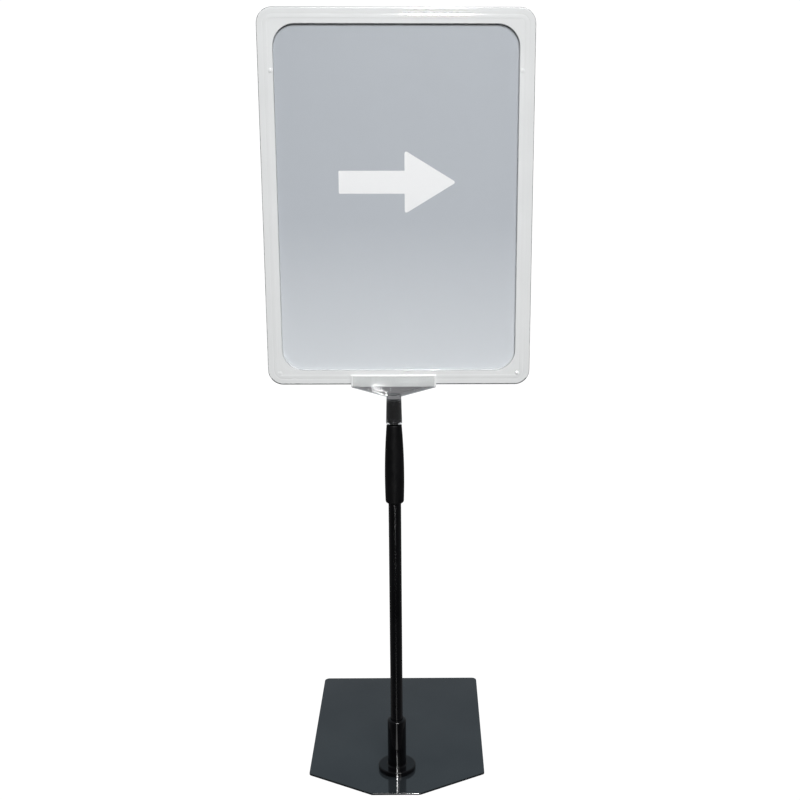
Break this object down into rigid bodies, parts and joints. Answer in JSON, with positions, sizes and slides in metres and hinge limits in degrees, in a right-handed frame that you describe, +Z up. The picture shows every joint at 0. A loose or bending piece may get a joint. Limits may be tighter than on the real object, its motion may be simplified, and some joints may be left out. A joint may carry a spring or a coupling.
{
  "type": "sign stand",
  "caption": "Counter-top sign stand: steel base plate, telescopic pole with a twist-lock grip, clear swivelling holder and a clear poster frame for an A4 sheet.",
  "frame": {"origin": "on the pole's axis, at the level of the surface the stand rests on (underside of the centre pad)", "axes": "+X to the viewer's right, +Y back from the viewer along the base plate, +Z up the pole; the poster faces -Y"},
  "size_m": [0.228, 0.224, 0.6953],
  "materials": {
    "plate_paint": "semi-gloss",
    "tube_paint": "satin",
    "black_plastic": "satin",
    "steel": "zinc plated",
    "brass": "machined",
    "nylon": "natural",
    "rubber": "matte",
    "clear_plastic": "clear, polished",
    "film": "clear, satin",
    "print": "coated"
  },
  "bodies": {
    "base": {"base_plate": "plate_paint", "pad_centre": "rubber", "pad_back_left": "rubber", "pad_back_right": "rubber", "pad_front_left": "rubber", "pad_front_right": "rubber", "foot_socket": "black_plastic", "foot_screw": "steel", "tube_insert": "brass", "outer_tube": "tube_paint", "collet": "nylon", "grip_ring": "steel"},
    "twist_grip": {"grip": "black_plastic"},
    "mast": {"inner_tube": "tube_paint", "guide_bush": "nylon", "guide_pin": "steel", "friction_ring": "rubber", "top_plug": "black_plastic"},
    "holder": {"t_holder": "clear_plastic"},
    "sign_frame": {"frame_front": "clear_plastic", "frame_back": "clear_plastic"},
    "sleeve": {"clear_sleeve": "film"},
    "print": {"poster": "print"}
  },
  "joints": [
    {"name": "grip_twist", "type": "hinge", "parent": "base", "child": "twist_grip", "pos_m": [0, 0, 0.307], "axis": [0, 0, 1], "range_deg": [0, 90]},
    {"name": "telescope", "type": "slide", "parent": "base", "child": "mast", "axis": [0, 0, 1], "range_m": [0, 0.25]},
    {"name": "head_swivel", "type": "hinge", "parent": "mast", "child": "holder", "pos_m": [0, 0, 0.356], "axis": [0, 0, 1], "continuous": true},
    {"name": "frame_lift", "type": "slide", "parent": "holder", "child": "sign_frame", "axis": [0, 0, 1], "range_m": [0, 0.015]},
    {"name": "sleeve_slide", "type": "slide", "parent": "sign_frame", "child": "sleeve", "axis": [0, 0, 1], "range_m": [0, 0.31]},
    {"name": "poster_slide", "type": "slide", "parent": "sleeve", "child": "print", "axis": [0, 0, 1], "range_m": [0, 0.3]}
  ]
}
